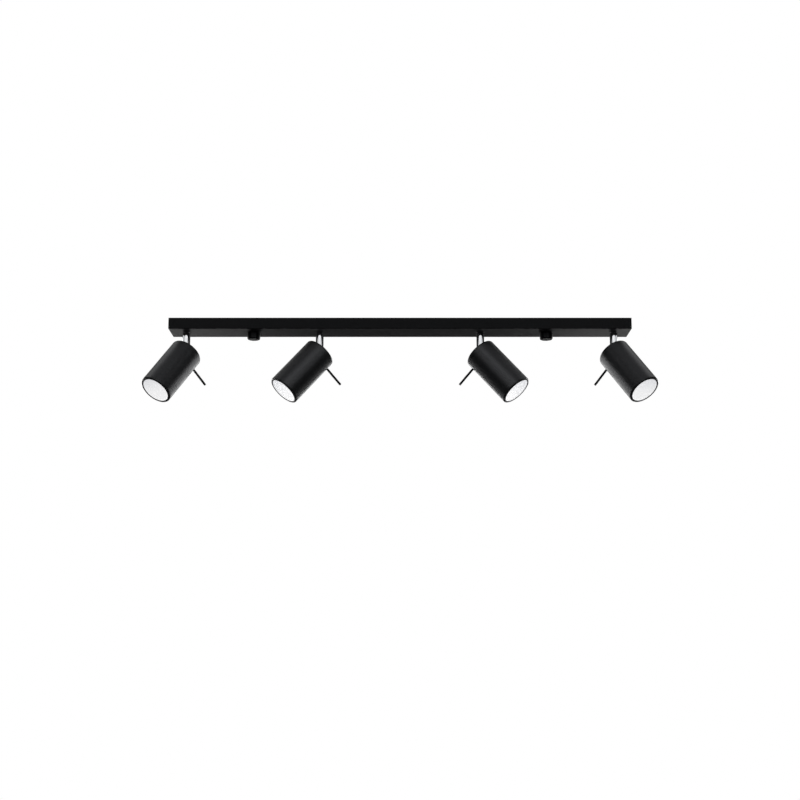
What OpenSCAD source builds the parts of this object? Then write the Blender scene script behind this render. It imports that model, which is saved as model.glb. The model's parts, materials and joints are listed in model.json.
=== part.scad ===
// Ceiling spot bar: a folded steel canopy with four heads that swivel and tilt.
// Millimetres. The ceiling is the plane z = 0, and everything hangs below it.
// x runs along the bar and -y is the side that faces the room.

/* [Canopy] */
// Length of the canopy along x
bar_l = 800; // [780:1:900]
// Width of the canopy along y
bar_w = 60; // [56:1:90]
// Height of the canopy below the ceiling
bar_h = 19.5; // [18:0.5:26]
// Sheet thickness of the canopy
sheet_t = 1.2; // [0.8:0.1:1.5]
// Distance of each cap nut from the middle of the bar
cap_nut_x = 255; // [250:1:262]
// Diameter of a cap nut
cap_nut_d = 22.5; // [14:0.5:24]
// Height of a cap nut below the canopy
cap_nut_h = 12; // [8:0.5:14]

/* [Ceiling bracket] */
// Length of the steel strip that is screwed to the ceiling
bracket_l = 580; // [560:1:600]
// Width of the strip
bracket_w = 24; // [20:1:30]
// Thickness of the strip
bracket_t = 1.5; // [1:0.1:2]
// Distance between the two outer ceiling slots
outer_slot_gap = 400; // [300:1:440]
// Distance between the two inner ceiling slots
inner_slot_gap = 110; // [100:1:130]
// Length of each ceiling slot
slot_l = 14; // [10:1:20]
// Width of each ceiling slot
slot_w = 4.8; // [4:0.1:5.5]
// Diameter of the supply cable hole
cable_hole_d = 16; // [12:1:18]

/* [Heads] */
// Place of each head along the bar
head_x = [-372.5, -140, 140, 372.5]; // [-376:0.5:376]
// Swivel of each head about its stem; 0 points it along -x and 90 towards the room
head_turn = [45.5, 23, 157, 134.5]; // [0:0.5:360]
// Tilt of each head away from straight down
head_tilt = [39.6, 42.1, 42.2, 39.8]; // [0:0.1:66]
// Turn of each tube, with its aiming rod, about the tube's own axis
tube_turn = [2.5, 9, -9, -2.5]; // [-15:0.5:15]
// Depth of the tilt pivot below the canopy
pivot_drop = 36.8; // [36:0.1:60]
// Outer diameter of the head tube
tube_d = 56.8; // [56.5:0.1:62]
// Wall of the head tube
tube_wall = 1.2; // [1:0.1:1.5]
// Length of the head from its flat back to its front edge
head_l = 100; // [98:0.5:110]
// Distance of the tilt pivot inside the flat back
pivot_inset = 2.9; // [2:0.1:3]
// Radius of the head's rounded back edge
back_round = 3; // [2:0.5:3]
// Radius of the front ring's rounded edge
front_round = 2.5; // [1:0.5:3]
// Recess of the lamp face behind the front edge
face_recess = 0.6; // [0.3:0.1:2]
// Free length of the aiming rod outside the tube
rod_l = 38; // [20:0.5:40]
// Diameter of the aiming rod
rod_d = 4; // [3:0.1:4.2]

/* [Stems] */
// Outer diameter of the chrome stem
stem_d = 13.4; // [13:0.1:14]
// Wall of the stem
stem_wall = 1; // [0.8:0.1:1.2]
// Diameter of the hollow nipple that the stem swivels on
nipple_d = 8; // [7.5:0.1:8.5]

/* [Lamp] */
// Diameter of the lamp's front rim
lamp_d = 50; // [49:0.5:50]
// Length of the lamp without its pins
lamp_l = 50.5; // [50:0.5:51]
// Distance between the two lamp pins
pin_gap = 10; // [10:0.5:11]
// Diameter of each lamp pin
pin_d = 5; // [4.5:0.1:5]

/* [Hidden] */
$fn = 64;
tiny = 0.01;
HEADS = [1:4];
head_nodes = ["stem_tube", "stem_wires", "head_tube", "rear_cap", "tilt_bracket", "pivot_screws",
              "lamp_socket", "lamp_body", "lamp_lens", "bezel_ring", "aiming_rod", "head_wires"];
bar_nodes = ["canopy_housing", "mounting_bracket", "bracket_studs", "cap_nuts", "terminal_block",
             "terminal_screws", "earth_screw", "live_wires", "neutral_wires", "swivel_nipples",
             "swivel_nuts", "swivel_washers"];

// Levels of the bar, from the ceiling down
floor_top = -bar_h + sheet_t;
pivot_z = -bar_h - pivot_drop;

// Rounding of a cap nut's lower edge
nut_round = 2;

// Swivel joint
washer_t = 0.5;
swivel_play = 0.1;
stem_top = -bar_h - washer_t - swivel_play;
stem_lid = 1.5;
flange_top = stem_top - stem_lid - swivel_play;
flange_t = 1.5;
nipple_top = floor_top + 5.5;
nipple_bore = 5.6;
lock_nut_t = 3;
lock_nut_af = 12;
running = 0.15;

// Tilt joint
ball_r = stem_d / 2 + 0.5;
shoulder_d = 3;
ear_gap = stem_d / 2 + 0.4;
ear_t = 1.5;
ear_r = 5.5;
screw_head_d = 5.6;
screw_head_t = 1.8;

// Head, measured along its axis from the pivot; the back is +z
back_z = pivot_inset;
front_z = back_z - head_l;
tube_r = tube_d / 2;
bore_r = tube_r - tube_wall;
seam_z = back_z - back_round;
cap_t = 1.2;
spigot_l = 4.5;
slot_reach = 24;
face_z = front_z + face_recess;
lens_r = lamp_d / 2 - 0.7;
lens_lip = 0.8;
lens_t = 3;
ring_band = 3.2;
lamp_r = lamp_d / 2;
base_r = 11.5;
base_z = face_z + lamp_l;
pin_l = 6;
socket_r = 13.6;
socket_front = base_z + 0.3;
socket_t = 12;
foot_t = 8;
cradle_z = socket_front + socket_t + foot_t;
cradle_t = 1.5;
cradle_reach = 12.4;
tab_reach = 21.5;
rod_z = -8.2;

// Wiring
wire_r = 1;
wire_sides = 8;
bend_reach = 6;
wire_notch = 6.8;
pair_gap = 1.3;
wire_end_z = -bar_h - 4.6;
block_x = 62;
block_l = 18;
block_w = 26;
block_h = 11;
pole_pitch = 8.4;
lane_y = 19;

function turn_z(p, a) = [p.x * cos(a) - p.y * sin(a), p.x * sin(a) + p.y * cos(a), p.z];

// Outer heads and inner heads are wired from the same block
function facing(i) = head_turn[i - 1] > 90 ? head_turn[i - 1] - 180 : head_turn[i - 1];

module tube(r, bore, z0, z1) {
    difference() {
        translate([0, 0, z0]) cylinder(h = z1 - z0, r = r);
        translate([0, 0, z0 - 1]) cylinder(h = z1 - z0 + 2, r = bore);
    }
}

module rod_between(a, b, r) {
    v = b - a;
    l = norm(v);
    translate(a) rotate([0, acos(v.z / l), atan2(v.y, v.x)]) cylinder(h = l, r = r);
}

// A path with its corners cut back by a short reach, again and again, which rounds its bends
function cut_corners(p, reach, times) = times == 0 ? p :
    cut_corners(concat([p[0]],
                       [for (k = [1:len(p) - 2]) for (end = [p[k - 1], p[k + 1]])
                           p[k] + unit(end - p[k]) * min(reach, norm(end - p[k]) / 3)],
                       [p[len(p) - 1]]), reach / 3, times - 1);

function unit(v) = v / norm(v);

function heading(p, k) = k == 0 ? unit(p[1] - p[0]) :
    k == len(p) - 1 ? unit(p[k] - p[k - 1]) : unit(unit(p[k] - p[k - 1]) + unit(p[k + 1] - p[k]));

// The side direction at point k, carried along the path without twist
function side_of(p, k) = k == 0 ? unit(cross(heading(p, 0), [0.1, 0.2, 1])) :
    let (t = heading(p, k), n = side_of(p, k - 1)) unit(n - (n * t) * t);

// A round wire of constant radius along a path
module wire(points) {
    path = cut_corners(points, bend_reach, 2);
    n = wire_sides;
    rings = [for (k = [0:len(path) - 1])
        let (t = heading(path, k), u = side_of(path, k), v = cross(t, u))
        [for (j = [0:n - 1]) path[k] + wire_r * (cos(360 * j / n) * u + sin(360 * j / n) * v)]];
    last = (len(path) - 1) * n;
    polyhedron([for (ring = rings) for (q = ring) q],
               concat([[for (j = [0:n - 1]) j]],
                      [for (k = [0:len(path) - 2]) for (j = [0:n - 1])
                          [k * n + j, (k + 1) * n + j, (k + 1) * n + (j + 1) % n, k * n + (j + 1) % n]],
                      [[for (j = [n - 1:-1:0]) last + j]]));
}

module stadium(l, w, h) {
    cube([l - w, w, h], center = true);
    for (s = [-1, 1]) translate([s * (l - w) / 2, 0, 0]) cylinder(h = h, d = w, center = true);
}

module at_stem(i) {
    translate([head_x[i - 1], 0, 0]) children();
}

module at_head(i) {
    translate([head_x[i - 1], 0, pivot_z]) rotate([0, head_tilt[i - 1], head_turn[i - 1]]) children();
}

// ---- Bar ----

module canopy_housing() color("#1b1b1c") {
    difference() {
        translate([-bar_l / 2, -bar_w / 2, -bar_h]) cube([bar_l, bar_w, bar_h]);
        translate([-bar_l / 2 + sheet_t, -bar_w / 2 + sheet_t, floor_top])
            cube([bar_l - 2 * sheet_t, bar_w - 2 * sheet_t, bar_h]);
        for (i = HEADS) at_stem(i) translate([0, 0, -bar_h - 1]) cylinder(h = 4, d = nipple_d + 0.2);
        for (s = [-1, 1]) translate([s * cap_nut_x, 0, -bar_h - 1]) cylinder(h = 4, d = 4.5);
    }
}

module mounting_bracket() color("#b9bcbe") {
    difference() {
        translate([-bracket_l / 2, -bracket_w / 2, -bracket_t]) cube([bracket_l, bracket_w, bracket_t]);
        for (gap = [outer_slot_gap, inner_slot_gap]) for (s = [-1, 1])
            translate([s * gap / 2, 0, -bracket_t / 2]) stadium(slot_l, slot_w, 4);
        for (s = [-1, 1]) translate([s * cap_nut_x, 0, -3]) cylinder(h = 4, d = 4.1);
        translate([0, 0, -3]) cylinder(h = 4, d = cable_hole_d);
    }
    for (s = [-1, 1]) for (side = [-1, 1])
        translate([s * (bracket_l / 2 - 20) - 6, side * (bracket_w / 2 - 0.75) - 0.75, -5])
            cube([12, 1.5, 5 - bracket_t + tiny]);
}

module bracket_studs() color("#c9c9c4") {
    for (s = [-1, 1]) translate([s * cap_nut_x, 0, 0]) {
        translate([0, 0, -bar_h - 8]) cylinder(h = bar_h + 8, d = 4);
        translate([0, 0, -bracket_t - 2]) cylinder(h = 2, d = 7.6);
    }
}

module cap_nuts() color("#161617") {
    for (s = [-1, 1]) translate([s * cap_nut_x, 0, -bar_h]) difference() {
        rotate_extrude() difference() {
            translate([0, -cap_nut_h]) square([cap_nut_d / 2, cap_nut_h]);
            translate([cap_nut_d / 2 - nut_round, -cap_nut_h]) difference() {
                translate([0, -nut_round]) square(2 * nut_round);
                translate([0, nut_round]) circle(r = nut_round);
            }
        }
        translate([0, 0, -9]) cylinder(h = 10, d = 4.1);
    }
}

module terminal_block() color("#e8e6df") {
    translate([block_x, 0, floor_top]) difference() {
        translate([-block_l / 2, -block_w / 2, 0]) cube([block_l, block_w, block_h]);
        for (p = [-1:1]) translate([0, p * pole_pitch, 5]) {
            rotate([0, 90, 0]) cylinder(h = block_l + 2, r = 2.6, center = true);
            for (s = [-1, 1]) translate([s * 5, 0, 0]) cylinder(h = block_h, r = 2.2);
        }
        for (p = [-1, 1]) translate([0, p * pole_pitch / 2, -1]) cylinder(h = block_h + 2, r = 1.4);
    }
}

module terminal_screws() color("#c8c8c8") {
    for (p = [-1:1]) for (s = [-1, 1])
        translate([block_x + s * 5, p * pole_pitch, floor_top + 7.2]) difference() {
            cylinder(h = 2.6, r = 1.9);
            translate([-3, -0.3, 1.8]) cube([6, 0.6, 2]);
        }
}

module earth_screw() color("#c9b26a") {
    translate([-45, 0, floor_top]) {
        tube(4.5, 2.05, 0, 0.8);
        cylinder(h = 5, r = 2);
        difference() {
            translate([0, 0, 0.8]) cylinder(h = 2.4, r = 3.6);
            translate([-5, -0.5, 2.2]) cube([10, 1, 2]);
        }
    }
}

// Four wires of one polarity leave the block bundled, follow the canopy's side and drop down the nipples
module wire_set(side) {
    start_x = block_x + block_l / 2;
    for (i = HEADS) {
        outer = abs(head_x[i - 1]) > 200 ? 1 : -1;
        right = head_x[i - 1] > 0 ? 1 : -1;
        bundle_y = side * (pole_pitch + right * 1.05);
        bundle_z = floor_top + 5 + outer * 1.05;
        lane = side * (lane_y + 1.2 + (1 + outer) * 1.2);
        level = floor_top + 3.5 + (1 + right) * 1.5;
        bend_x = start_x + 11 - right * 3 - outer * 1.2;
        wire([[start_x, bundle_y, bundle_z],
              [bend_x, bundle_y, bundle_z],
              [bend_x, lane, level],
              [head_x[i - 1] - 12 * right, lane, level],
              [head_x[i - 1] - 7 * right, side * 6, nipple_top + 5],
              [head_x[i - 1], side * pair_gap, nipple_top + 6],
              [head_x[i - 1], side * pair_gap, wire_end_z]]);
    }
}

module live_wires() color("#6b4226") wire_set(1);

module neutral_wires() color("#2f5fa8") wire_set(-1);

module swivel_nipples() color("#c9c9c4") {
    for (i = HEADS) at_stem(i) difference() {
        union() {
            translate([0, 0, flange_top]) cylinder(h = nipple_top - flange_top, d = nipple_d);
            translate([0, 0, flange_top - flange_t]) cylinder(h = flange_t, d = stem_d - 2 * stem_wall - 0.6);
        }
        translate([0, 0, flange_top - flange_t - 1])
            cylinder(h = nipple_top - flange_top + flange_t + 2, d = nipple_bore);
    }
}

module swivel_nuts() color("#bfc1c2") {
    for (i = HEADS) at_stem(i) translate([0, 0, floor_top]) difference() {
        cylinder(h = lock_nut_t, d = lock_nut_af / cos(30), $fn = 6);
        translate([0, 0, -1]) cylinder(h = lock_nut_t + 2, d = nipple_d + 0.05);
    }
}

module swivel_washers() color("#242425") {
    for (i = HEADS) at_stem(i) tube(stem_d / 2 - 0.3, nipple_d / 2 + 0.1, -bar_h - washer_t, -bar_h);
}

// ---- Stems ----

module stem_tube(i) color("#cfd2d6") at_stem(i) {
    difference() {
        intersection() {
            translate([0, 0, pivot_z - 6]) cylinder(h = stem_top - pivot_z + 6, d = stem_d);
            union() {
                translate([0, 0, pivot_z]) cylinder(h = stem_top - pivot_z + 1, r = stem_d);
                translate([0, 0, pivot_z]) sphere(r = ball_r);
            }
        }
        translate([0, 0, pivot_z - 10])
            cylinder(h = stem_top - stem_lid - pivot_z + 10, d = stem_d - 2 * stem_wall);
        translate([0, 0, stem_top - stem_lid - 1]) cylinder(h = stem_lid + 2, d = nipple_d + running);
        translate([0, 0, pivot_z]) rotate([0, 0, head_turn[i - 1]]) {
            rotate([90, 0, 0]) cylinder(h = stem_d + 2, d = shoulder_d + running, center = true);
            translate([-stem_d, -wire_notch / 2, -10]) cube([stem_d, wire_notch, 10.8]);
        }
    }
}

module stem_wires(i) color("#e9e7e1") at_stem(i) {
    for (s = [-1, 1])
        rod_between([0, s * pair_gap, wire_end_z - 1],
                    turn_z([0, s * pair_gap, pivot_z + 1.2], facing(i)), wire_r);
}

// ---- Heads ----

module head_tube(i) color("#19191a") at_head(i) rotate([0, 0, tube_turn[i - 1]]) {
    difference() {
        tube(tube_r, bore_r, front_z + ring_band, seam_z);
        translate([bore_r - 3, 0, rod_z]) rotate([0, 90, 0]) cylinder(h = 10, d = rod_d + 0.1);
    }
}

module rear_cap(i) color("#19191a") at_head(i) {
    difference() {
        rotate_extrude() {
            difference() {
                translate([0, seam_z]) union() {
                    square([tube_r - back_round, back_round]);
                    translate([tube_r - back_round, 0]) intersection() {
                        circle(r = back_round);
                        translate([-tiny, 0]) square([back_round + 1, back_round + 1]);
                    }
                }
                translate([-1, seam_z - 1])
                    square([tube_r - back_round - tube_wall + 1, back_round - cap_t + 1]);
            }
            translate([bore_r - 1.3, seam_z - spigot_l]) square([1.2, spigot_l + 1]);
        }
        translate([-slot_reach + ball_r + 0.4, 0, -8]) cylinder(h = 12, r = ball_r + 0.4);
        translate([-slot_reach + ball_r + 0.4, -ball_r - 0.4, -8])
            cube([slot_reach - ball_r - 0.4, 2 * ball_r + 0.8, 12]);
        translate([0, 0, -8]) cylinder(h = 12, r = ball_r + 0.4);
        translate([-ear_r - 0.5, -ear_gap - ear_t - 0.3, 0])
            cube([2 * ear_r + 1, 2 * (ear_gap + ear_t + 0.3), 4]);
        screw_notch(back_z - cap_t - 1);
    }
}

// Room for the pivot screws' heads beside the ears
module screw_notch(z) {
    w = screw_head_d + 1;
    reach = ear_gap + ear_t + screw_head_t + 0.5;
    translate([-w / 2, -reach, z]) cube([w, 2 * reach, 5]);
}

// One ear of the cradle, with the tab that is welded under the rear cap
module cradle_ear() {
    translate([-ear_r, ear_gap, cradle_z]) cube([2 * ear_r, ear_t, -cradle_z]);
    translate([0, ear_gap + ear_t, 0]) rotate([90, 0, 0]) cylinder(h = ear_t, r = ear_r);
    notch_w = screw_head_d + 1;
    notch_l = screw_head_t + 0.5;
    translate([0, 0, back_z - cap_t - cradle_t]) difference() {
        translate([-ear_r, ear_gap, 0]) cube([2 * ear_r, tab_reach - ear_gap, cradle_t]);
        translate([-notch_w / 2, ear_gap + ear_t, -1]) cube([notch_w, notch_l, cradle_t + 2]);
    }
}

module tilt_bracket(i) color("#b9bcbe") at_head(i) {
    difference() {
        union() {
            translate([-cradle_reach - cradle_t, -ear_gap - ear_t, cradle_z])
                cube([2 * (cradle_reach + cradle_t), 2 * (ear_gap + ear_t), cradle_t]);
            for (s = [0, 1]) mirror([0, s, 0]) cradle_ear();
            for (s = [0, 1]) mirror([s, 0, 0])
                translate([cradle_reach, -4, cradle_z - 7]) cube([cradle_t, 8, 8]);
        }
        rotate([90, 0, 0]) cylinder(h = 40, d = shoulder_d, center = true);
        translate([0, 0, cradle_z - 1]) cylinder(h = 4, d = 8);
    }
}

module pivot_screws(i) color("#c9c9c4") at_head(i) {
    for (s = [-1, 1]) rotate([s * -90, 0, 0]) {
        translate([0, 0, stem_d / 2 - stem_wall])
            cylinder(h = ear_gap + ear_t - stem_d / 2 + stem_wall, d = shoulder_d);
        difference() {
            translate([0, 0, ear_gap + ear_t]) cylinder(h = screw_head_t, d = screw_head_d);
            translate([-5, -0.4, ear_gap + ear_t + screw_head_t - 0.7]) cube([10, 0.8, 2]);
        }
    }
}

module lamp_socket(i) color("#efece4") at_head(i) {
    difference() {
        union() {
            translate([0, 0, socket_front]) cylinder(h = socket_t, r = socket_r);
            translate([-12.3, -7.5, socket_front + socket_t - tiny]) cube([24.6, 15, foot_t + tiny]);
        }
        for (s = [-1, 1]) translate([0, s * pin_gap / 2, socket_front - 1]) {
            cylinder(h = pin_l + 2, d = pin_d + 0.4);
        }
    }
}

module lamp_body(i) color("#dcdcdc") at_head(i) {
    rise = 34;
    arc = [for (k = [0:10])
        [base_r + (lamp_r - base_r) * sqrt(1 - pow(k / 10, 2)), face_z + 3.5 + rise * k / 10]];
    difference() {
        union() {
            rotate_extrude() polygon(concat([[0, face_z + 0.9], [lamp_r, face_z + 0.9]], arc,
                                            [[base_r, base_z], [0, base_z]]));
            for (s = [-1, 1]) translate([0, s * pin_gap / 2, base_z - 1]) {
                cylinder(h = pin_l - 1.4, d = 3);
                translate([0, 0, pin_l - 1.5]) cylinder(h = 2, d = pin_d);
            }
        }
        rotate_extrude() polygon(concat([[0, face_z - 1], [lamp_r - 1, face_z - 1], [lamp_r - 1, face_z + 4]],
                                        [for (k = [1:7]) [arc[k].x - 1.6, arc[k].y + 0.4]],
                                        [[0, arc[7].y + 0.4]]));
    }
}

module lamp_lens(i) color("#fbfbf8") at_head(i) {
    translate([0, 0, face_z]) cylinder(h = lens_lip, r = lens_r);
    translate([0, 0, face_z + lens_lip - tiny]) cylinder(h = lens_t - lens_lip, r = lamp_r - 1.05);
}

// The front ring closes the tube, and its lip holds the lamp's rim
module bezel_ring(i) color("#141415") at_head(i) translate([0, 0, front_z]) difference() {
    rotate_extrude() {
        translate([0, front_round]) square([tube_r, ring_band - front_round]);
        square([tube_r - front_round, ring_band]);
        translate([tube_r - front_round, front_round]) intersection() {
            circle(r = front_round);
            translate([0, -front_round]) square([front_round, front_round + tiny]);
        }
        translate([0, ring_band - tiny]) square([bore_r - 0.1, spigot_l]);
    }
    translate([0, 0, -1]) cylinder(h = 20, r = lens_r + 0.2);
    translate([0, 0, face_recess + lens_lip]) cylinder(h = 20, r = lamp_r + 0.2);
}

module aiming_rod(i) color("#18181a") at_head(i) rotate([0, 0, tube_turn[i - 1]]) translate([0, 0, rod_z]) {
    rotate([0, 90, 0]) {
        translate([0, 0, bore_r - 1.8]) cylinder(h = 1.4, d = rod_d + 2.4);
        translate([0, 0, bore_r - 1]) cylinder(h = tube_wall + rod_l + 1, d = rod_d);
    }
}

module head_wires(i) color("#e9e7e1") at_head(i) {
    facing_sign = head_turn[i - 1] > 90 ? -1 : 1;
    for (s = [-1, 1])
        translate([0, s * facing_sign * pair_gap, cradle_z]) cylinder(h = -cradle_z - 1.2, r = wire_r);
}

canopy_housing();
mounting_bracket();
bracket_studs();
cap_nuts();
terminal_block();
terminal_screws();
earth_screw();
live_wires();
neutral_wires();
swivel_nipples();
swivel_nuts();
swivel_washers();
for (i = HEADS) {
    stem_tube(i);
    stem_wires(i);
    head_tube(i);
    rear_cap(i);
    tilt_bracket(i);
    pivot_screws(i);
    lamp_socket(i);
    lamp_body(i);
    lamp_lens(i);
    bezel_ring(i);
    aiming_rod(i);
    head_wires(i);
}
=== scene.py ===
import json
import math
import bpy
import bmesh
from mathutils import Matrix, Vector


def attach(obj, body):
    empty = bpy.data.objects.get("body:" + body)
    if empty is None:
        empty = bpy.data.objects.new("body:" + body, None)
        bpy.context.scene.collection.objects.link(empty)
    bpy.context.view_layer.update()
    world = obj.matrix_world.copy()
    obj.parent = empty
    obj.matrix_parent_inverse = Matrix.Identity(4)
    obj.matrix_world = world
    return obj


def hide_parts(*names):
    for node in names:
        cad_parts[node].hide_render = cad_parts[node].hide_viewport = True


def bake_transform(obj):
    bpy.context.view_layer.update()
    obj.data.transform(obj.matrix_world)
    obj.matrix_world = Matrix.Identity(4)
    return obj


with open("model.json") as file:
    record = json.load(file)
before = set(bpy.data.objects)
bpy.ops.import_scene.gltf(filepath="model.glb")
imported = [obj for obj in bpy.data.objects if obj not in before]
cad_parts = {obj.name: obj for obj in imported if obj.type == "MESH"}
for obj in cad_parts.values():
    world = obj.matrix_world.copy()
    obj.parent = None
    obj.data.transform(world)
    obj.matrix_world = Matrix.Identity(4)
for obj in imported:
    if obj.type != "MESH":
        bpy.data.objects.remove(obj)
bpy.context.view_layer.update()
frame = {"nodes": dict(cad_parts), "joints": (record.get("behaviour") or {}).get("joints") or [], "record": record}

# Ceiling spot bar. The ceiling is z = 0, x runs along the bar and -y faces the room.
# Lengths below are in millimetres and become metres through MM.
MM = 0.001
HEADS = (1, 2, 3, 4)

# Canopy and its fasteners
BAR_L, BAR_W, BAR_H, SHEET = 800.0, 60.0, 19.5, 1.2
FLOOR_TOP = -BAR_H + SHEET
FOLD_RADIUS, RIM_RADIUS = 0.7, 0.15
CAP_NUT_X, CAP_NUT_D, CAP_NUT_H = 255.0, 22.5, 12.0
CAP_NUT_ROUND, CAP_NUT_GROOVE = 2.0, 0.5
NIPPLE_D, LOCK_NUT_AF, LOCK_NUT_T = 8.0, 12.0, 3.0
NIPPLE_HOLE_R, LOCK_NUT_CHAMFER = NIPPLE_D / 2 + 0.1, 0.5
STUD_HOLE_D, STUD_BORE_L, STUD_CLEARANCE_R = 4.1, 9.0, 2.25

# Stems
STEM_D, STEM_WALL, STEM_LID = 13.4, 1.0, 1.5
SWIVEL_GAP = 0.6
STEM_TOP = -BAR_H - SWIVEL_GAP
BALL_R = STEM_D / 2 + 0.5
PIN_HOLE_D = 3.15
WIRE_NOTCH = 6.8

# Heads, measured along their axis from the tilt pivot, with the back at +z
TUBE_R, TUBE_WALL = 28.4, 1.2
BORE_R = TUBE_R - TUBE_WALL
BACK_Z, HEAD_L = 2.9, 100.0
FRONT_Z = BACK_Z - HEAD_L
BACK_ROUND, FRONT_ROUND = 3.0, 2.5
SEAM_Z = BACK_Z - BACK_ROUND
RING_BAND, SPIGOT = 3.2, 4.5
CAP_T = 1.2
FACE_RECESS, LENS_R, LENS_LIP, LENS_T, LAMP_R = 0.6, 24.3, 0.8, 3.0, 25.0
FACE_Z = FRONT_Z + FACE_RECESS
ROD_Z, ROD_L, ROD_D = -8.2, 38.0, 4.0
TUBE_TURN = {1: 2.5, 2: 9.0, 3: -9.0, 4: -2.5}
EAR_GAP, EAR_T, EAR_R = STEM_D / 2 + 0.4, 1.5, 5.5
SCREW_HEAD_D, SCREW_HEAD_T = 5.6, 1.8
SLOT_REACH, SLOT_DEPTH, SLOT_OVERSHOOT = 24.0, 8.0, 5.0
LAMP_L, SOCKET_GAP, SOCKET_T, FOOT_T = 50.5, 0.3, 12.0, 8.0
CRADLE_Z = FACE_Z + LAMP_L + SOCKET_GAP + SOCKET_T + FOOT_T

# Lens: the smooth rim's width, the depth of the domed field and the width over which its domes fade out,
# then the domes' spacing, radius and height, and the gap between their rows
RIM_BAND, FIELD_SINK, FADE_BAND = 1.3, 0.3, 0.6
DOME_PITCH, DOME_R, DOME_H, ROW_GAP = 1.7, 0.95, 0.08, 1.7 * math.sqrt(3) / 2
LENS_RINGS, LENS_SEGMENTS = 56, 240
# Heights between which the lenses' painted glow fades from white at the bottom to a painted grey shade at the top,
# in the photographed pose
LENS_BOTTOM, LENS_TOP = -146.0, -113.0

# Wiring; each step is half the distance between neighbouring wires, in the bundle or in the side lanes
WIRE_R, PAIR_GAP, WIRE_END_Z = 1.0, 1.3, -BAR_H - 4.6
WIRE_SIDES, WIRE_BEND, OUTER_HEAD_X = 12, 5.0, 200.0
BUNDLE_STEP, LANE_STEP, LEVEL_STEP = 1.05, 1.2, 1.5
BLOCK_X, BLOCK_L, POLE_PITCH, LANE_Y = 62.0, 18.0, 8.4, 19.0
NIPPLE_TOP = FLOOR_TOP + 5.5


# ---- Where each head is, from the joints ----

def head_places():
    """Each head's pivot, the way it faces, and the matrix from its own axes to the photographed pose."""
    places = {}
    for joint in frame["joints"]:
        if joint["name"].startswith("tilt_"):
            i = int(joint["name"][-1])
            axis = joint["axis"]
            facing = math.atan2(-axis[0], axis[1])
            tilt = math.radians(-joint["range_deg"][0])
            pivot = Vector(joint["pos_m"])
            aim = Matrix.Rotation(facing, 4, "Z") @ Matrix.Rotation(tilt, 4, "Y")
            places[i] = {"pivot": pivot, "facing": facing, "matrix": Matrix.Translation(pivot) @ aim}
    return places


PLACES = head_places()


# ---- Mesh tools; every outline and point is in millimetres ----

def add_object(name, data):
    obj = bpy.data.objects.new(name, data)
    bpy.context.scene.collection.objects.link(obj)
    return obj


def mesh_from(name, bm):
    mesh = bpy.data.meshes.new(name)
    bm.to_mesh(mesh)
    bm.free()
    return mesh


def new_object(name, verts, faces, sharp=35.0):
    mesh = bpy.data.meshes.new(name)
    mesh.from_pydata([Vector(v) * MM for v in verts], [], faces)
    obj = add_object(name, mesh)
    tidy_normals(obj, sharp)
    return obj


def tidy_normals(obj, sharp=35.0):
    """Merges doubled vertices, turns the faces outwards and shades them smooth up to an angle."""
    bm = bmesh.new()
    bm.from_mesh(obj.data)
    bmesh.ops.remove_doubles(bm, verts=bm.verts, dist=1e-7)
    bmesh.ops.recalc_face_normals(bm, faces=bm.faces)
    bm.to_mesh(obj.data)
    bm.free()
    obj.data.polygons.foreach_set("use_smooth", [True] * len(obj.data.polygons))
    obj.data.set_sharp_from_angle(angle=math.radians(sharp))


def round_outline(points, steps=5):
    """points are (r, z) or (r, z, fillet radius); returns the outline with its fillets drawn."""
    out = []
    n = len(points)
    for k, point in enumerate(points):
        here = Vector(point[:2])
        fillet = point[2] if len(point) > 2 else 0
        if not fillet:
            out.append((here.x, here.y))
            continue
        a = (Vector(points[k - 1][:2]) - here).normalized()
        b = (Vector(points[(k + 1) % n][:2]) - here).normalized()
        half = math.acos(max(-1, min(1, a.dot(b)))) / 2
        centre = here + (a + b).normalized() * (fillet / math.sin(half))
        start = here + a * (fillet / math.tan(half)) - centre
        end = here + b * (fillet / math.tan(half)) - centre
        sweep = start.angle_signed(end)
        for s in range(steps + 1):
            angle = -sweep * s / steps
            arm = Matrix.Rotation(angle, 2) @ start
            out.append((centre.x + arm.x, centre.y + arm.y))
    return out


def lathe(name, outline, segments=96):
    """A closed solid of revolution about z; outline is a closed loop of (r, z)."""
    verts, rings = [], []
    for r, z in outline:
        if r < 1e-6:
            rings.append([len(verts)] * segments)
            verts.append((0, 0, z))
        else:
            rings.append(list(range(len(verts), len(verts) + segments)))
            for s in range(segments):
                angle = math.tau * s / segments
                verts.append((r * math.cos(angle), r * math.sin(angle), z))
    faces = []
    for k, ring in enumerate(rings):
        nxt = rings[(k + 1) % len(rings)]
        if ring[0] == ring[1] and nxt[0] == nxt[1]:
            continue
        for s in range(segments):
            t = (s + 1) % segments
            face = [ring[s], ring[t], nxt[t], nxt[s]]
            faces.append([v for j, v in enumerate(face) if v != face[j - 1]])
    return new_object(name, verts, faces)


def drill(radius, low, high, segments):
    """A cylinder about z, to cut a hole with."""
    return lathe("drill", [(0, low), (radius, low), (radius, high), (0, high)], segments)


def block(name, low, high):
    """A box between two corners."""
    bm = bmesh.new()
    bmesh.ops.create_cube(bm, size=1.0)
    low, high = Vector(low) * MM, Vector(high) * MM
    for v in bm.verts:
        v.co = Vector([(low[k] + high[k]) / 2 + v.co[k] * (high[k] - low[k]) for k in range(3)])
    obj = add_object(name, mesh_from(name, bm))
    tidy_normals(obj)
    return obj


def place(obj, matrix):
    """Moves the object's vertices, so that its origin stays at the frame's origin."""
    obj.data.transform(matrix)
    obj.data.update()
    return obj


def shift(x, y, z):
    return Matrix.Translation(Vector((x, y, z)) * MM)


def turn(degrees, axis):
    return Matrix.Rotation(math.radians(degrees), 4, axis)


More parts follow.
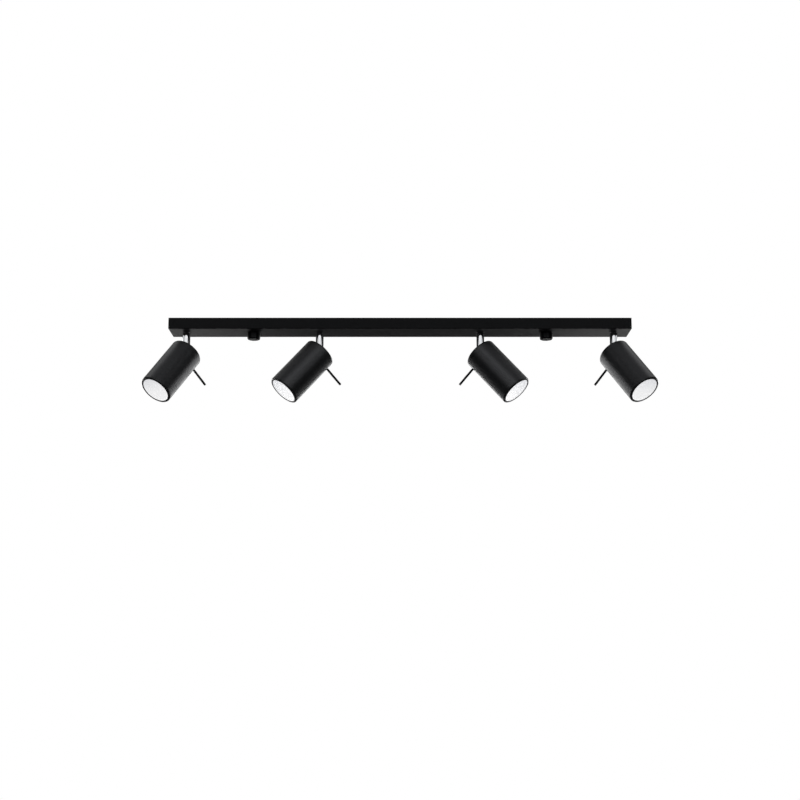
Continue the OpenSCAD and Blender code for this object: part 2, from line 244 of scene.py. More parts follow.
def join(name, objs, sharp=35.0):
    """Makes one object of several, which it deletes."""
    bm = bmesh.new()
    for obj in objs:
        bm.from_mesh(obj.data)
        bpy.data.objects.remove(obj)
    obj = add_object(name, mesh_from(name, bm))
    tidy_normals(obj, sharp)
    return obj


def bake_modifiers(obj):
    depsgraph = bpy.context.evaluated_depsgraph_get()
    mesh = bpy.data.meshes.new_from_object(obj.evaluated_get(depsgraph))
    obj.modifiers.clear()
    obj.data = mesh


def cut(obj, cutters, operation="DIFFERENCE", sharp=35.0):
    """Cuts the object with each cutter in turn, then deletes the cutters."""
    for cutter in cutters:
        modifier = obj.modifiers.new("cut", "BOOLEAN")
        modifier.object = cutter
        modifier.operation = operation
        modifier.solver = "EXACT"
    bpy.context.view_layer.update()
    bake_modifiers(obj)
    for cutter in cutters:
        bpy.data.objects.remove(cutter)
    tidy_normals(obj, sharp)
    return obj


def soften_edges(obj, name, width):
    """Adds a modifier that rounds the edges that are sharper than 50 degrees."""
    modifier = obj.modifiers.new(name, "BEVEL")
    modifier.width = width * MM
    modifier.segments = 2
    modifier.limit_method = "ANGLE"
    modifier.angle_limit = math.radians(50)
    modifier.use_clamp_overlap = True


def smooth_path(points, reach, steps=6):
    """A path whose corners are replaced by curves that start a short reach before each corner."""
    points = [Vector(p) for p in points]
    out = [points[0]]
    for k in range(1, len(points) - 1):
        before, here, after = points[k - 1], points[k], points[k + 1]
        a = here + (before - here).normalized() * min(reach, (before - here).length / 2.1)
        b = here + (after - here).normalized() * min(reach, (after - here).length / 2.1)
        for s in range(steps + 1):
            t = s / steps
            out.append(a * (1 - t) ** 2 + here * 2 * t * (1 - t) + b * t ** 2)
    out.append(points[-1])
    return out


def wire(name, paths, radius):
    """Round wires of constant radius along paths."""
    sides = WIRE_SIDES
    verts, faces = [], []
    for path in paths:
        base = len(verts)
        side = None
        for k, here in enumerate(path):
            heading = (path[min(k + 1, len(path) - 1)] - path[max(k - 1, 0)]).normalized()
            if side is None:
                side = heading.cross(Vector((0.1, 0.2, 1))).normalized()
            side = (side - heading * side.dot(heading)).normalized()
            other = heading.cross(side)
            for s in range(sides):
                angle = math.tau * s / sides
                verts.append(here + (side * math.cos(angle) + other * math.sin(angle)) * radius)
        for k in range(len(path) - 1):
            for s in range(sides):
                t = (s + 1) % sides
                faces.append([base + k * sides + s, base + (k + 1) * sides + s,
                              base + (k + 1) * sides + t, base + k * sides + t])
        last = base + (len(path) - 1) * sides
        faces.append([base + s for s in range(sides)])
        faces.append([last + s for s in reversed(range(sides))])
    return new_object(name, verts, faces, 60.0)


# ---- Materials ----

class Finish:
    """A principled material that reads a piece's own coordinates, in metres."""

    def __init__(self, name, colour, roughness, **values):
        self.mat = bpy.data.materials.new(name)
        self.mat.use_nodes = True
        self.nodes = self.mat.node_tree.nodes
        self.links = self.mat.node_tree.links
        self.shader = self.nodes["Principled BSDF"]
        self.shader.inputs["Base Color"].default_value = (*colour, 1)
        self.shader.inputs["Roughness"].default_value = roughness
        for key, value in values.items():
            self.shader.inputs[key.replace("_", " ")].default_value = value
        coord = self.nodes.new("ShaderNodeTexCoord")
        self.coord = coord.outputs["Object"]
        self.normal = None

    def stretched(self, scale):
        mapping = self.nodes.new("ShaderNodeMapping")
        mapping.inputs["Scale"].default_value = scale
        self.links.new(self.coord, mapping.inputs["Vector"])
        return mapping.outputs["Vector"]

    def noise(self, scale, detail, vector=None):
        node = self.nodes.new("ShaderNodeTexNoise")
        node.inputs["Scale"].default_value = scale
        node.inputs["Detail"].default_value = detail
        node.inputs["Roughness"].default_value = 0.55
        self.links.new(vector or self.coord, node.inputs["Vector"])
        return node.outputs["Fac"]

    def cells(self, scale):
        node = self.nodes.new("ShaderNodeTexVoronoi")
        node.inputs["Scale"].default_value = scale
        self.links.new(self.coord, node.inputs["Vector"])
        return node.outputs["Color"]

    def ramp(self, fac, stops):
        node = self.nodes.new("ShaderNodeValToRGB")
        ramp = node.color_ramp
        while len(ramp.elements) < len(stops):
            ramp.elements.new(0.5)
        for element, (position, colour) in zip(ramp.elements, stops):
            element.position = position
            element.color = (*colour, 1)
        self.links.new(fac, node.inputs["Fac"])
        return node.outputs["Color"]

    def tint(self, fac, stops):
        self.links.new(self.ramp(fac, stops), self.shader.inputs["Base Color"])

    def gloss(self, fac, low, high):
        node = self.nodes.new("ShaderNodeMapRange")
        node.inputs["From Min"].default_value = 0.3
        node.inputs["From Max"].default_value = 0.7
        node.inputs["To Min"].default_value = low
        node.inputs["To Max"].default_value = high
        self.links.new(fac, node.inputs["Value"])
        self.links.new(node.outputs["Result"], self.shader.inputs["Roughness"])

    def bump(self, height, depth):
        node = self.nodes.new("ShaderNodeBump")
        node.inputs["Distance"].default_value = depth * MM
        node.inputs["Strength"].default_value = 1.0
        self.links.new(height, node.inputs["Height"])
        if self.normal:
            self.links.new(self.normal, node.inputs["Normal"])
        self.normal = node.outputs["Normal"]
        self.links.new(self.normal, self.shader.inputs["Normal"])


def cool_grey(value):
    return (value * 0.97, value, value * 1.08)


COAT_REFLECTION = (0.97, 0.99, 1.04, 1)


def powder_coat(name, shade, rough, grain, depth, shine):
    """Baked powder: a fine orange peel with a finer sparkle of grain on top."""
    f = Finish(name, cool_grey(shade), rough, Specular_IOR_Level=shine, Specular_Tint=COAT_REFLECTION)
    f.tint(f.noise(60, 4), [(0.3, cool_grey(shade * 0.88)), (0.7, cool_grey(shade * 1.12))])
    f.gloss(f.noise(420, 4), rough - 0.04, rough + 0.05)
    f.bump(f.noise(grain, 2), depth)
    f.bump(f.noise(grain * 3.2, 2), depth * 0.35)
    return f


def zinc(name, shade, rough):
    """Galvanised or plated steel: faint crystals and drawing lines."""
    f = Finish(name, (shade, shade, shade * 0.99), rough, Metallic=1.0)
    f.tint(f.cells(190), [(0.0, (shade * 0.86,) * 3), (1.0, (shade * 1.08,) * 3)])
    f.gloss(f.noise(260, 4), rough - 0.06, rough + 0.1)
    f.bump(f.noise(900, 3, vector=f.stretched((0.08, 1, 1))), 0.01)
    return f


def plastic(name, colour, rough, peel=500):
    f = Finish(name, colour, rough)
    darker, lighter = tuple(c * 0.93 for c in colour), tuple(min(1, c * 1.04) for c in colour)
    f.tint(f.noise(90, 4), [(0.3, darker), (0.7, lighter)])
    f.gloss(f.noise(peel, 3), rough - 0.05, rough + 0.07)
    f.bump(f.noise(peel * 2, 2), 0.012)
    return f


# Powder coats: shade, roughness, scale and depth of the grain, and shine. Zinc: shade and roughness.
# Plastics: colour and roughness, and on the wires also the scale of the surface's unevenness.
FINISHES = {
    "black_powder_coat": powder_coat("canopy_powder_coat", 0.0032, 0.48, 900, 0.03, 0.05),
    "black_head_coat": powder_coat("head_powder_coat", 0.0045, 0.38, 1300, 0.008, 0.26),
    "black_ring": powder_coat("ring_powder_coat", 0.0040, 0.36, 1300, 0.007, 0.20),
    "black_nut": powder_coat("nut_coat", 0.0016, 0.36, 1500, 0.012, 0.08),
    "black_rod": powder_coat("rod_coat", 0.0045, 0.38, 1800, 0.010, 0.25),
    "zinc_steel": zinc("zinc_sheet", 0.62, 0.38),
    "zinc_fastener": zinc("zinc_plate", 0.66, 0.30),
    "terminal_plastic": plastic("terminal_polyamide", (0.80, 0.78, 0.71), 0.42),
    "nylon_washer": plastic("washer_nylon", (0.03, 0.03, 0.032), 0.45),
    "brown_insulation": plastic("insulation_brown", (0.11, 0.045, 0.02), 0.36, 800),
    "blue_insulation": plastic("insulation_blue", (0.02, 0.09, 0.33), 0.36, 800),
    "silicone_sleeve": plastic("sleeve_silicone", (0.82, 0.81, 0.77), 0.55, 700),
    "lamp_reflector": plastic("lamp_shell", (0.80, 0.80, 0.79), 0.35),
}


def more_finishes():
    """The finishes that only one kind of piece has."""
    chrome = Finish("chrome_plate", (0.86, 0.87, 0.89), 0.05, Metallic=1.0)
    chrome.gloss(chrome.noise(300, 3), 0.035, 0.075)
    chrome.bump(chrome.noise(120, 2), 0.004)
    FINISHES["chrome_stem"] = chrome

    brass = Finish("brass_screw", (0.72, 0.54, 0.22), 0.28, Metallic=1.0)
    brass.tint(brass.noise(400, 3), [(0.3, (0.60, 0.43, 0.16)), (0.7, (0.78, 0.60, 0.27))])
    brass.gloss(brass.noise(700, 3), 0.22, 0.36)
    brass.bump(brass.noise(1500, 2), 0.008)
    FINISHES["brass_screw"] = brass

    ceramic = Finish("socket_steatite", (0.80, 0.77, 0.70), 0.6)
    ceramic.tint(ceramic.noise(1500, 5), [(0.32, (0.66, 0.63, 0.56)), (0.6, (0.83, 0.80, 0.73))])
    ceramic.gloss(ceramic.noise(900, 3), 0.5, 0.7)
    ceramic.bump(ceramic.noise(2200, 4), 0.03)
    FINISHES["socket_ceramic"] = ceramic

    lens = Finish("lamp_diffuser_painted_glow", (0.86, 0.86, 0.87), 0.34, Specular_IOR_Level=0.5)
    lens.shader.inputs["Subsurface Weight"].default_value = 0.25
    lens.shader.inputs["Subsurface Radius"].default_value = (0.002, 0.002, 0.002)
    # Painted light: the lens glows by emission, white low down and a greyer painted shade higher up.
    lens.shader.inputs["Emission Strength"].default_value = 0.68
    lens.tint(lens.noise(700, 3), [(0.3, (0.83, 0.83, 0.85)), (0.7, (0.89, 0.89, 0.90))])
    lens.gloss(lens.noise(1200, 2), 0.28, 0.4)
    lens.bump(lens.noise(2600, 2), 0.01)
    axes = lens.nodes.new("ShaderNodeSeparateXYZ")
    lens.links.new(lens.coord, axes.inputs["Vector"])
    low_to_high = lens.nodes.new("ShaderNodeMapRange")
    low_to_high.inputs["From Min"].default_value = LENS_BOTTOM * MM
    low_to_high.inputs["From Max"].default_value = LENS_TOP * MM
    lens.links.new(axes.outputs["Z"], low_to_high.inputs["Value"])
    # Painted light and shade: a white glow at the bottom that fades to grey at the top.
    fade = [(0.0, (1.0, 1.0, 1.0)), (0.35, (0.97, 0.97, 0.97)), (1.0, (0.74, 0.75, 0.78))]
    painted_glow = lens.ramp(low_to_high.outputs["Result"], fade)
    lens.links.new(painted_glow, lens.shader.inputs["Emission Color"])
    FINISHES["lamp_lens"] = lens


more_finishes()


def even_normals(obj):
    """Lets the large faces set the shading, so that flats look flat right up to their rounded edges."""
    modifier = obj.modifiers.new("even_normals", "WEIGHTED_NORMAL")
    modifier.mode = "FACE_AREA"
    modifier.weight = 50
    modifier.keep_sharp = True


def finish_piece(obj, slot, body, node):
    """Gives a piece its finish, and says which node it replaces and which body it rides on."""
    obj.data.materials.clear()
    obj.data.materials.append(FINISHES[slot].mat)
    even_normals(obj)
    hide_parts(node)
    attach(obj, body)


# ---- Bar ----

def make_canopy():
    """A folded steel tray, open towards the ceiling, with rounded folds."""
    bm = bmesh.new()
    hx, hy = BAR_L / 2, BAR_W / 2
    loops = []
    for inset, z in ((0, 0), (0, -BAR_H), (SHEET, FLOOR_TOP), (SHEET, 0)):
        loops.append([bm.verts.new(Vector((sx * (hx - inset), sy * (hy - inset), z)) * MM)
                      for sx, sy in ((-1, -1), (1, -1), (1, 1), (-1, 1))])
    for a, b in ((0, 1), (2, 3), (3, 0)):
        for k in range(4):
            j = (k + 1) % 4
            bm.faces.new([loops[a][k], loops[a][j], loops[b][j], loops[b][k]])
    bm.faces.new(loops[1])
    bm.faces.new(list(reversed(loops[2])))
    bmesh.ops.recalc_face_normals(bm, faces=bm.faces)
    outer = [e for e in bm.edges if all(v in loops[0] + loops[1] for v in e.verts)
             and not all(v in loops[0] for v in e.verts)]
    bmesh.ops.bevel(bm, geom=outer, offset=FOLD_RADIUS * MM, segments=4, profile=0.5, affect="EDGES")
    rim = [e for e in bm.edges if all(abs(v.co.z) < 1e-7 for v in e.verts) and e.is_convex]
    bmesh.ops.bevel(bm, geom=rim, offset=RIM_RADIUS * MM, segments=2, profile=0.5, affect="EDGES")
    canopy = add_object("canopy", mesh_from("canopy", bm))
    holes = [(NIPPLE_HOLE_R, PLACES[i]["pivot"].x / MM) for i in HEADS]
    holes += [(STUD_CLEARANCE_R, s * CAP_NUT_X) for s in (-1, 1)]
    reach = 3
    cut(canopy, [place(drill(radius, -reach, reach, 32), shift(x, 0, -BAR_H)) for radius, x in holes])
    finish_piece(canopy, "black_powder_coat", "bar", "canopy_housing")


def make_cap_nuts():
    """Round turned nuts with a softened lower edge and a fine groove under the canopy."""
    r, h, groove = CAP_NUT_D / 2, CAP_NUT_H, CAP_NUT_GROOVE
    bore = STUD_HOLE_D / 2
    outline = round_outline([(bore, 0), (r - groove, 0), (r - groove, -groove), (r, -groove, 0.2),
                             (r, -h, CAP_NUT_ROUND), (0, -h), (0, -STUD_BORE_L), (bore, -STUD_BORE_L)], 6)
    parts = [place(lathe("cap_nut", outline), shift(s * CAP_NUT_X, 0, -BAR_H)) for s in (-1, 1)]
    finish_piece(join("cap_nut_pair", parts), "black_nut", "bar", "cap_nuts")


def make_swivel_nuts():
    """Hexagon nuts with both faces chamfered."""
    parts = []
    corner = LOCK_NUT_AF / 2 / math.cos(math.radians(30))
    bore, rim, chamfer = NIPPLE_D / 2 + 0.03, corner + 0.01, LOCK_NUT_CHAMFER
    flat = corner - 2 * chamfer
    for i in HEADS:
        hexagon = lathe("hexagon", [(0, 0), (corner, 0), (corner, LOCK_NUT_T), (0, LOCK_NUT_T)], 6)
        turned = lathe("turned", [(bore, 0), (flat, 0), (rim, chamfer), (rim, LOCK_NUT_T - chamfer),
                                  (flat, LOCK_NUT_T), (bore, LOCK_NUT_T)], 72)
        nut = cut(hexagon, [turned], "INTERSECT", 20.0)
        place(nut, shift(PLACES[i]["pivot"].x / MM, 0, FLOOR_TOP))
        parts.append(nut)
    finish_piece(join("swivel_nut_set", parts, 20.0), "zinc_fastener", "bar", "swivel_nuts")


def bar_wire_paths(side):
    """Each wire leaves the block, follows its side of the canopy and drops down its head's nipple."""
    paths = []
    start_x = BLOCK_X + BLOCK_L / 2
    for i in HEADS:
        x = PLACES[i]["pivot"].x / MM
        outer = 1 if abs(x) > OUTER_HEAD_X else -1
        right = 1 if x > 0 else -1
        bundle_y = side * (POLE_PITCH + right * BUNDLE_STEP)
        bundle_z = FLOOR_TOP + 5 + outer * BUNDLE_STEP
        lane = side * (LANE_Y + (2 + outer) * LANE_STEP)
        level = FLOOR_TOP + 3.5 + (1 + right) * LEVEL_STEP
        bend_x = start_x + 11 - right * 3 - outer * LANE_STEP
        paths.append(smooth_path([
            (start_x, bundle_y, bundle_z), (bend_x, bundle_y, bundle_z), (bend_x, lane, level),
            (x - 12 * right, lane, level), (x - 7 * right, side * 6, NIPPLE_TOP + 5),
            (x, side * PAIR_GAP, NIPPLE_TOP + 6), (x, side * PAIR_GAP, WIRE_END_Z)], WIRE_BEND))
    return paths


def make_bar_wires():
    live = wire("live_wire_set", bar_wire_paths(1), WIRE_R)
    finish_piece(live, "brown_insulation", "bar", "live_wires")
    neutral = wire("neutral_wire_set", bar_wire_paths(-1), WIRE_R)
    finish_piece(neutral, "blue_insulation", "bar", "neutral_wires")


# ---- Stems and heads ----

def make_stem(i):
    """A chrome tube with a rounded top edge, a rounded end and the gap for the lamp wires."""
    pivot = PLACES[i]["pivot"] / MM
    r, bore = STEM_D / 2, STEM_D / 2 - STEM_WALL
    lid_hole = NIPPLE_D / 2 + 0.08
    top = STEM_TOP - pivot.z
    steps, reach = 14, 12
    radii = [bore + (r - bore) * k / steps for k in range(steps)] + [r]
    ball = [(x, -math.sqrt(BALL_R ** 2 - x ** 2)) for x in radii]
    outline = round_outline([ball[0], ball[-1], (r, top, 0.5), (lid_hole, top, 0.2), (lid_hole, top - STEM_LID),
                             (bore, top - STEM_LID)], 5)
    outline = [outline[0]] + ball[1:-1] + outline[1:]
    stem = lathe("stem", outline, 128)
    pin = place(drill(PIN_HOLE_D / 2, -reach, reach, 40), turn(90, "X"))
    notch = block("notch", (-STEM_D, -WIRE_NOTCH / 2, -reach), (0, WIRE_NOTCH / 2, 0.8))
    heading = Matrix.Rotation(PLACES[i]["facing"], 4, "Z")
    cut(stem, [place(pin, heading), place(notch, heading)])
    place(stem, Matrix.Translation(PLACES[i]["pivot"]))
    stem.name = f"chrome_stem_{i}"
    finish_piece(stem, "chrome_stem", f"stem_{i}", f"stem_tube_{i}")


def make_head_tube(i):
    """The plain tube between its rear cap and its front ring, with a hole for the aiming rod."""
    outline = round_outline([(BORE_R, FRONT_Z + RING_BAND), (TUBE_R, FRONT_Z + RING_BAND, 0.12),
                             (TUBE_R, SEAM_Z, 0.12), (BORE_R, SEAM_Z)], 2)
    tube = lathe("tube", outline, 192)
    hole = drill(ROD_D / 2 + 0.05, 0, 10, 32)
    cut(tube, [place(hole, shift(BORE_R - 3, 0, ROD_Z) @ turn(90, "Y"))])
    place(tube, PLACES[i]["matrix"] @ turn(TUBE_TURN[i], "Z"))
    tube.name = f"head_shell_{i}"
    finish_piece(tube, "black_head_coat", f"head_{i}", f"head_tube_{i}")


def make_rear_cap(i):
    """A pressed disc with a rounded rim, and a slot that the stem passes through as the head tilts."""
    inner = BACK_Z - CAP_T
    outline = round_outline([(0, BACK_Z), (TUBE_R, BACK_Z, BACK_ROUND), (TUBE_R, SEAM_Z, 0.1),
                             (BORE_R - 0.1, SEAM_Z), (BORE_R - 0.1, SEAM_Z - SPIGOT, 0.2),
                             (BORE_R - 1.3, SEAM_Z - SPIGOT, 0.2), (BORE_R - 1.3, inner, 0.8), (0, inner)], 8)
    cap = lathe("cap", outline, 192)
    r = BALL_R + 0.4
    low, high = -SLOT_DEPTH, SLOT_OVERSHOOT
    ear_x, ear_y = EAR_R + 0.5, EAR_GAP + EAR_T + 0.3
    screw_x, screw_y = (SCREW_HEAD_D + 1) / 2, EAR_GAP + EAR_T + SCREW_HEAD_T + 0.5
    cut(cap, [
        place(drill(r, low, high, 96), shift(-SLOT_REACH + r, 0, 0)),
        block("slot", (-SLOT_REACH + r, -r, low), (0, r, high)),
        place(drill(r, low, high, 96), shift(0.001, 0, 0)),
        block("ear_room", (-ear_x, -ear_y, low), (ear_x, ear_y, high)),
        block("screw_room", (-screw_x, -screw_y, low), (screw_x, screw_y, high)),
    ])
    soften_edges(cap, "soften", 0.2)
    bpy.context.view_layer.update()
    bake_modifiers(cap)
    tidy_normals(cap)
    place(cap, PLACES[i]["matrix"])
    cap.name = f"rear_cap_disc_{i}"
    finish_piece(cap, "black_head_coat", f"head_{i}", f"rear_cap_{i}")


def make_front_ring(i):
    """The turned ring that closes the tube; its thin lip holds the lamp's rim."""
    lip = FACE_RECESS + LENS_LIP
    seat = LAMP_R + 0.2
    outline = round_outline([(LENS_R + 0.2, 0, 0.25), (TUBE_R, 0, FRONT_ROUND), (TUBE_R, RING_BAND, 0.12),
                             (BORE_R - 0.1, RING_BAND), (BORE_R - 0.1, RING_BAND + SPIGOT, 0.3),
                             (seat, RING_BAND + SPIGOT, 0.3), (seat, lip), (LENS_R + 0.2, lip, 0.1)], 8)
    ring = lathe(f"front_ring_{i}", outline, 192)
    place(ring, PLACES[i]["matrix"] @ shift(0, 0, FRONT_Z))
    finish_piece(ring, "black_ring", f"head_{i}", f"bezel_ring_{i}")


def dome_height(x, y):
    """Height of a field of small domes on a triangular grid."""
    row = round(y / ROW_GAP)
    best = 0.0
    for r in (row - 1, row, row + 1):
        cy = r * ROW_GAP
        offset = 0.5 * DOME_PITCH if r % 2 else 0.0
        cx = round((x - offset) / DOME_PITCH) * DOME_PITCH + offset
        best = max(best, 1 - ((x - cx) ** 2 + (y - cy) ** 2) / DOME_R ** 2)
    return best * DOME_H


def make_lens(i):
    """A frosted disc with a smooth rim, whose face is a field of small domes."""
    rings, segments = LENS_RINGS, LENS_SEGMENTS
    rim = LENS_R - RIM_BAND
    circle = [(math.cos(math.tau * s / segments), math.sin(math.tau * s / segments)) for s in range(segments)]
    verts = [(0, 0, FIELD_SINK - dome_height(0, 0))]
    for k in range(1, rings + 1):
        r = rim * k / rings
        fade = min(1, (rim - r) / FADE_BAND)
        verts += [(r * x, r * y, FIELD_SINK - dome_height(r * x, r * y) * fade) for x, y in circle]
    faces = [[0, 1 + s, 1 + (s + 1) % segments] for s in range(segments)]
    for k in range(rings - 1):
        a, b = 1 + k * segments, 1 + (k + 1) * segments
        for s in range(segments):
            t = (s + 1) % segments
            faces.append([a + s, b + s, b + t, a + t])
    edge = round_outline([(rim, FIELD_SINK), (rim + 0.25, 0.0, 0.1), (LENS_R, 0.0, 0.3), (LENS_R, LENS_LIP),
                          (LAMP_R - 1.05, LENS_LIP), (LAMP_R - 1.05, LENS_T, 0.2), (0, LENS_T)], 4)[1:]
    last = 1 + (rings - 1) * segments
    for r, z in edge:
        if r < 1e-6:
            tip = len(verts)
            verts.append((0, 0, z))
            faces += [[last + s, tip, last + (s + 1) % segments] for s in range(segments)]
            break
        base = len(verts)
        verts += [(r * x, r * y, z) for x, y in circle]
        for s in range(segments):
            t = (s + 1) % segments
            faces.append([last + s, base + s, base + t, last + t])
        last = base
    lens = new_object(f"diffuser_{i}", verts, faces, 50.0)
    place(lens, PLACES[i]["matrix"] @ shift(0, 0, FACE_Z))
    finish_piece(lens, "lamp_lens", f"head_{i}", f"lamp_lens_{i}")


def make_aiming_rod(i):
    """A straight rod with a square tip, riveted from inside the tube."""
    r, tip, flange = ROD_D / 2, TUBE_R + ROD_L, ROD_D / 2 + 1.2
    outline = round_outline([(0, BORE_R - 1.8), (flange, BORE_R - 1.8, 0.4), (flange, BORE_R - 0.4, 0.2),
                             (r, BORE_R - 0.4), (r, tip, 0.35), (0, tip)], 5)
    rod = lathe(f"rod_{i}", outline, 48)
    place(rod, PLACES[i]["matrix"] @ turn(TUBE_TURN[i], "Z") @ shift(0, 0, ROD_Z) @ turn(90, "Y"))
    finish_piece(rod, "black_rod", f"head_{i}", f"aiming_rod_{i}")


def make_lamp_wires(i):
    """The two sleeved wires from the swivel to the lamp socket, which bend at the tilt pivot."""
    p = PLACES[i]
    pivot = p["pivot"] / MM
    head = p["matrix"]
    facing = p["facing"]
    sign = 1
    if facing > math.pi / 2:
        facing -= math.pi
        sign = -1
    paths = []
    for s in (-1, 1):
        gap = s * PAIR_GAP
        bend = Vector((-gap * math.sin(facing), gap * math.cos(facing), 0))
        inside = (head @ Vector((0, sign * gap * MM, CRADLE_Z * MM))) / MM
        knee = (head @ Vector((0, sign * gap * MM, -5 * MM))) / MM
        corners = [Vector((pivot.x, gap, WIRE_END_Z - 1)), pivot + bend + Vector((0, 0, 5)), knee, inside]
        path = smooth_path(corners, WIRE_BEND, 10)
        fine = [path[0].lerp(path[1], t / 5) for t in range(5)] + path[1:-1]
        fine += [path[-2].lerp(path[-1], t / 4) for t in range(1, 5)]
        paths.append(fine)
    pair = wire(f"lamp_wire_pair_{i}", paths, WIRE_R)
    pair.data.materials.append(FINISHES["silicone_sleeve"].mat)
    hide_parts(f"stem_wires_{i}", f"head_wires_{i}")
    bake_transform(pair)


def soften_cad_nodes():
    """The carried-over solids keep their shape; their sharp edges are broken and they get their finish."""
    slots = {part["node"]: part["material_slot"] for part in frame["record"]["subparts"]}
    for name, obj in frame["nodes"].items():
        if obj.hide_render:
            continue
        obj.data.materials.clear()
        obj.data.materials.append(FINISHES[slots[name]].mat)
        soften_edges(obj, "broken_edges", 0.15)
        even_normals(obj)


make_canopy()
make_cap_nuts()
make_swivel_nuts()
make_bar_wires()
for i in HEADS:
    make_stem(i)
    make_head_tube(i)
    make_rear_cap(i)
    make_front_ring(i)
    make_lens(i)
    make_aiming_rod(i)
    make_lamp_wires(i)
soften_cad_nodes()


# ---- Studio ----

# Brightness of the surroundings against height: 0 is straight down, 0.5 level and 1 straight up
ROOM_LEVELS = [(0.01, 0.04), (0.80, 0.04), (0.854, 0.05), (0.953, 0.63), (0.99, 0.63)]

# Softboxes: name, azimuth (0 is in front), elevation, width and height, all in degrees, and brightness.
# Each one that isn't on the centre line is doubled on the other side. A last value of True means that the
# canopy doesn't block the light. Distance and aim are in metres.
SOFTBOX_DISTANCE, SOFTBOX_AIM = 3.5, (0, 0, -0.08)
SOFTBOXES = [
    ("front_strip", 0, 12, 40, 24, 0.85),
    ("front_strip_end", 31, 14, 22, 5, 0.8),
    ("side_strip", 80, 14, 76, 5, 0.6),
    ("front_key", 0, 30, 40, 12, 3.95),
    ("front_high", 0, 42, 40, 12, 2.1),
    ("front_wing", 30, 5, 25, 12, 2.9),
    ("front_wing_top", 30, 20, 25, 7, 2.9),
    ("side_high", 80, 42, 25, 14, 2.9),
    ("side_low", 122, -6, 17, 10, 2.2),
    ("side_floor", 122, -26, 17, 10, 1.3),
    ("rear_side", 130.5, 4, 34, 10, 6.9),
    ("rear_high", 140, 35, 28, 15, 0.5),
    ("rear_top", 127, 51, 45, 22, 0.95, True),
    ("rear_edge", 152, 4, 36, 20, 4.4),
    ("rear_low", 156, -16, 17, 10, 3.0),
    ("rear_fill", 180, 5, 30, 18, 1.5),
]

# Floor: half its width and its height, in metres, and its colour as the camera sees it
FLOOR_REACH, FLOOR_Z, FLOOR_SEEN = 24.0, -3.2, (0.975, 0.975, 0.98, 1)

# Camera: where it stands in metres, its angle from straight down and its focal length
CAMERA_PLACE, CAMERA_PITCH, CAMERA_LENS = (0, -2.431, -0.634), 101.51, 64.58


def make_floor():
    """A plain floor that is pale to the camera and dim to everything else."""
    bm = bmesh.new()
    bmesh.ops.create_grid(bm, x_segments=1, y_segments=1, size=FLOOR_REACH)
    floor = add_object("studio_floor", mesh_from("studio_floor", bm))
    floor.location = (0, 0, FLOOR_Z)
    f = Finish("pale_floor", (0.20, 0.20, 0.20), 0.9)
    f.tint(f.noise(3, 2), [(0.3, (0.19, 0.19, 0.19)), (0.7, (0.21, 0.21, 0.21))])
    seen = f.nodes.new("ShaderNodeEmission")
    seen.inputs["Color"].default_value = FLOOR_SEEN
    path = f.nodes.new("ShaderNodeLightPath")
    mix = f.nodes.new("ShaderNodeMixShader")
    f.links.new(path.outputs["Is Camera Ray"], mix.inputs["Fac"])
    f.links.new(f.shader.outputs["BSDF"], mix.inputs[1])
    f.links.new(seen.outputs["Emission"], mix.inputs[2])
    f.links.new(mix.outputs["Shader"], f.nodes["Material Output"].inputs["Surface"])
    floor.data.materials.append(f.mat)


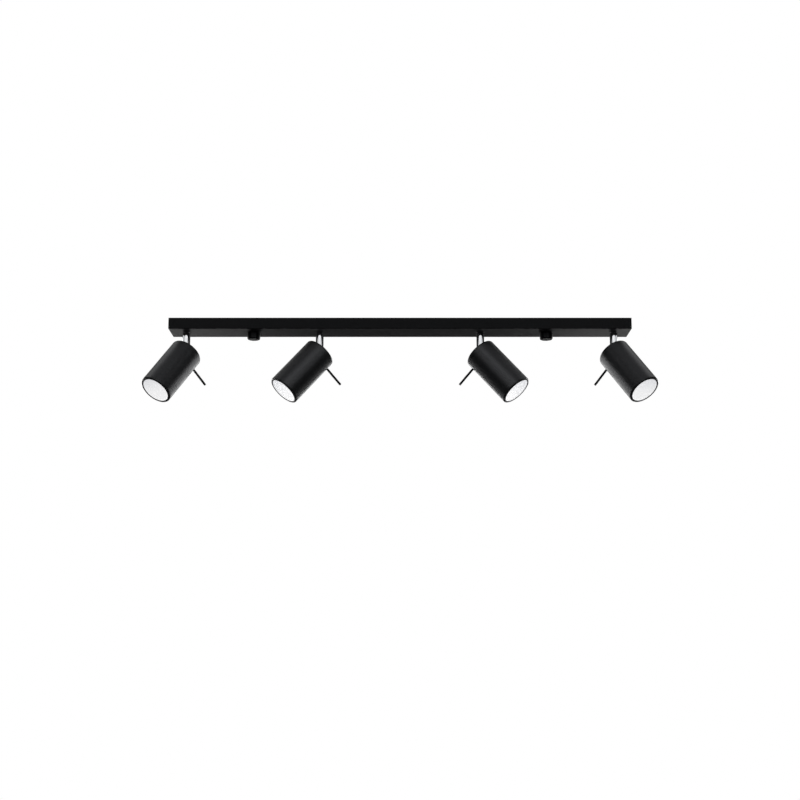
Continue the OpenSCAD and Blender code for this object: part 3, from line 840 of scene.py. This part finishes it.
def softbox(name, azimuth, elevation, wide, high, level, past_canopy=False):
    """A rectangle of light of one brightness, placed and sized by angles seen from the fixture."""
    a, e, distance = math.radians(azimuth), math.radians(elevation), SOFTBOX_DISTANCE
    aim = Vector(SOFTBOX_AIM)
    light = bpy.data.lights.new(name, "AREA")
    light.shape = "RECTANGLE"
    light.size = 2 * distance * math.tan(math.radians(wide / 2))
    light.size_y = 2 * distance * math.tan(math.radians(high / 2))
    light.energy = level * math.pi * light.size * light.size_y
    obj = add_object(name, light)
    obj.location = aim + Vector((math.sin(a) * math.cos(e), -math.cos(a) * math.cos(e), math.sin(e))) * distance
    obj.rotation_euler = (aim - obj.location).to_track_quat("-Z", "Y").to_euler()
    obj.visible_camera = False
    if past_canopy:
        ignored = bpy.data.collections.new(name + "_ignores")
        ignored.objects.link(bpy.data.objects["canopy"])
        ignored.collection_objects[0].light_linking.link_state = "EXCLUDE"
        obj.light_linking.blocker_collection = ignored


def make_world():
    """A bright ceiling above, a dim room below, and a plain white backdrop."""
    world = bpy.data.worlds.new("studio")
    bpy.context.scene.world = world
    world.use_nodes = True
    nodes, links = world.node_tree.nodes, world.node_tree.links
    coord = nodes.new("ShaderNodeTexCoord")
    axes = nodes.new("ShaderNodeSeparateXYZ")
    links.new(coord.outputs["Generated"], axes.inputs["Vector"])
    height = nodes.new("ShaderNodeMapRange")
    height.inputs["From Min"].default_value = -1.0
    height.inputs["From Max"].default_value = 1.0
    links.new(axes.outputs["Z"], height.inputs["Value"])
    room = nodes.new("ShaderNodeValToRGB")
    ramp = room.color_ramp
    for position, level in ROOM_LEVELS:
        element = ramp.elements.new(position)
        element.color = (level, level, level * 1.02, 1)
    ramp.elements.remove(ramp.elements[0])
    ramp.elements.remove(ramp.elements[-1])
    links.new(height.outputs["Result"], room.inputs["Fac"])
    light = nodes["Background"]
    links.new(room.outputs["Color"], light.inputs["Color"])
    backdrop = nodes.new("ShaderNodeBackground")
    backdrop.inputs["Color"].default_value = (1, 1, 1, 1)
    path = nodes.new("ShaderNodeLightPath")
    mix = nodes.new("ShaderNodeMixShader")
    links.new(path.outputs["Is Camera Ray"], mix.inputs["Fac"])
    links.new(light.outputs["Background"], mix.inputs[1])
    links.new(backdrop.outputs["Background"], mix.inputs[2])
    links.new(mix.outputs["Shader"], nodes["World Output"].inputs["Surface"])


def make_camera():
    data = bpy.data.cameras.new("camera")
    data.lens = CAMERA_LENS
    data.sensor_width = 36.0
    camera = add_object("camera", data)
    camera.location = CAMERA_PLACE
    camera.rotation_euler = (math.radians(CAMERA_PITCH), 0, 0)
    bpy.context.scene.camera = camera


make_floor()
make_world()
for name, azimuth, *values in SOFTBOXES:
    softbox(name, azimuth, *values)
    if azimuth not in (0, 180):
        softbox(name + "_mirrored", -azimuth, *values)
make_camera()
bpy.context.scene.view_settings.view_transform = "Standard"
